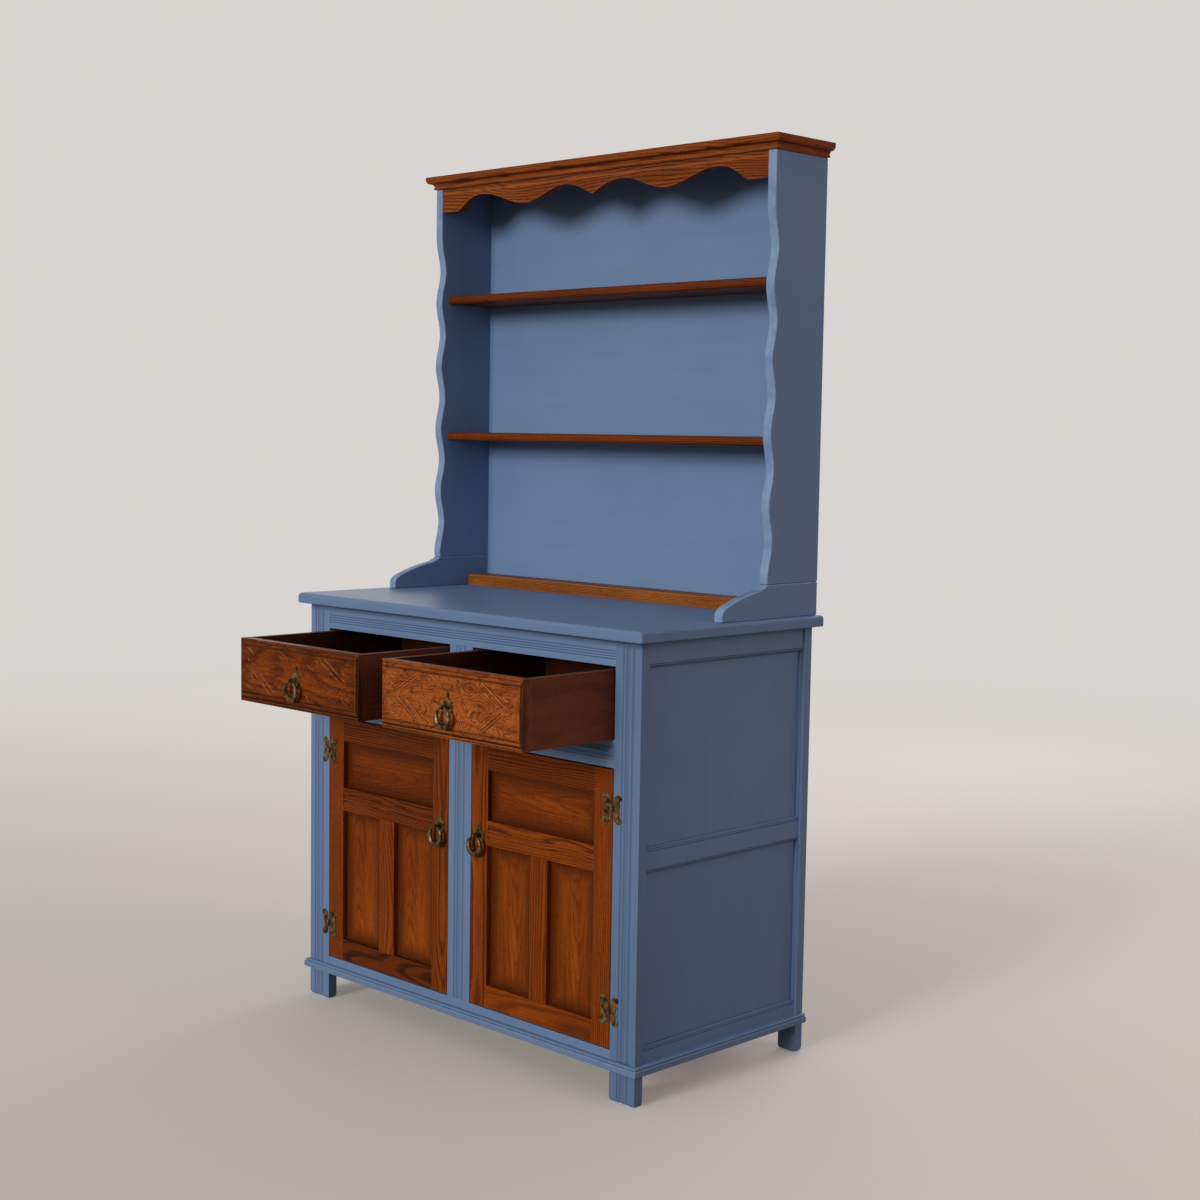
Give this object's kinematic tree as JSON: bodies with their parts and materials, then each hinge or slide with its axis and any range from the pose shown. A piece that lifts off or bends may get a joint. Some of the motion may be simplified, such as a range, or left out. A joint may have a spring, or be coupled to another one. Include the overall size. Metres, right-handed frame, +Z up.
{
  "type": "welsh dresser",
  "caption": "Painted and stained Welsh dresser: two drawers over two panelled doors, a worktop, and an open plate rack with shelves, wavy sides, shaped frieze and cornice",
  "frame": {"origin": "on the floor, under the middle of the whole dresser as it stands with its drawers drawn out 236 mm", "axes": "+X to the right seen from the front, -Y out of the front, +Z up"},
  "size_m": [1.0388, 0.7646, 1.8312],
  "materials": {
    "blue_paint": "satin blue paint over wood, slightly worn at the edges",
    "stained_oak": "orange-brown stained open-grain oak, satin varnish",
    "drawer_wood": "dark red-brown stained softwood, low sheen",
    "inner_wood": "bare softwood, matt",
    "antique_brass": "antique brass, darkened in the hollows and rubbed bright on the edges"
  },
  "bodies": {
    "carcass": {"front_stile_left": "blue_paint", "front_stile_right": "blue_paint", "front_top_rail": "blue_paint", "front_middle_rail": "blue_paint", "front_bottom_rail": "blue_paint", "drawer_muntin": "blue_paint", "door_muntin": "blue_paint", "side_frame_left": "blue_paint", "side_panel_left": "blue_paint", "side_frame_right": "blue_paint", "side_panel_right": "blue_paint", "plinth_moulding": "blue_paint", "worktop": "blue_paint", "cupboard_floor": "inner_wood", "base_back_panel": "inner_wood", "back_top_rail": "inner_wood", "cupboard_shelf": "inner_wood", "drawer_runner_frame": "inner_wood", "drawer_kicker_frame": "inner_wood", "hinge_left_upper_frame_leaf": "antique_brass", "hinge_left_lower_frame_leaf": "antique_brass", "hinge_right_upper_frame_leaf": "antique_brass", "hinge_right_lower_frame_leaf": "antique_brass", "rack_side_left": "blue_paint", "rack_side_right": "blue_paint", "rack_foot_left": "blue_paint", "rack_foot_right": "blue_paint", "rack_back_panel": "blue_paint", "rack_top_board": "blue_paint", "rack_shelf_upper": "stained_oak", "rack_shelf_lower": "stained_oak", "rack_frieze": "stained_oak", "rack_cornice": "stained_oak", "plate_rail": "stained_oak"},
    "door_left": {"door_left_frame": "stained_oak", "door_left_upper_panel": "stained_oak", "door_left_inner_panel": "stained_oak", "door_left_outer_panel": "stained_oak", "door_left_pull_plate": "antique_brass", "hinge_left_upper_door_leaf": "antique_brass", "hinge_left_lower_door_leaf": "antique_brass"},
    "drawer_left": {"drawer_left_front": "stained_oak", "drawer_left_box": "drawer_wood", "drawer_left_bottom": "drawer_wood", "drawer_left_pull_plate": "antique_brass"},
    "door_left_ring": {"door_left_pull_ring": "antique_brass"},
    "drawer_left_ring": {"drawer_left_pull_ring": "antique_brass"},
    "door_right": {"door_right_frame": "stained_oak", "door_right_upper_panel": "stained_oak", "door_right_inner_panel": "stained_oak", "door_right_outer_panel": "stained_oak", "door_right_pull_plate": "antique_brass", "hinge_right_upper_door_leaf": "antique_brass", "hinge_right_lower_door_leaf": "antique_brass"},
    "drawer_right": {"drawer_right_front": "stained_oak", "drawer_right_box": "drawer_wood", "drawer_right_bottom": "drawer_wood", "drawer_right_pull_plate": "antique_brass"},
    "door_right_ring": {"door_right_pull_ring": "antique_brass"},
    "drawer_right_ring": {"drawer_right_pull_ring": "antique_brass"}
  },
  "joints": [
    {"name": "drawer_left_slide", "type": "slide", "parent": "carcass", "child": "drawer_left", "axis": [0, -1, 0], "range_m": [-0.236, 0.1]},
    {"name": "drawer_right_slide", "type": "slide", "parent": "carcass", "child": "drawer_right", "axis": [0, -1, 0], "range_m": [-0.236, 0.1]},
    {"name": "door_left_hinge", "type": "hinge", "parent": "carcass", "child": "door_left", "pos_m": [-0.4325, -0.1312, 0.36475], "axis": [0, 0, -1], "range_deg": [0, 175]},
    {"name": "door_right_hinge", "type": "hinge", "parent": "carcass", "child": "door_right", "pos_m": [0.4325, -0.1312, 0.36475], "axis": [0, 0, 1], "range_deg": [0, 175]},
    {"name": "drawer_left_ring_swing", "type": "hinge", "parent": "drawer_left", "child": "drawer_left_ring", "pos_m": [-0.23387, -0.3777, 0.74895], "axis": [-1, 0, 0], "range_deg": [-10, 150]},
    {"name": "door_left_ring_swing", "type": "hinge", "parent": "door_left", "child": "door_left_ring", "pos_m": [-0.06025, -0.1417, 0.448], "axis": [-1, 0, 0], "range_deg": [-10, 150]},
    {"name": "drawer_right_ring_swing", "type": "hinge", "parent": "drawer_right", "child": "drawer_right_ring", "pos_m": [0.23387, -0.3777, 0.74895], "axis": [-1, 0, 0], "range_deg": [-10, 150]},
    {"name": "door_right_ring_swing", "type": "hinge", "parent": "door_right", "child": "door_right_ring", "pos_m": [0.06025, -0.1417, 0.448], "axis": [-1, 0, 0], "range_deg": [-10, 150]}
  ]
}
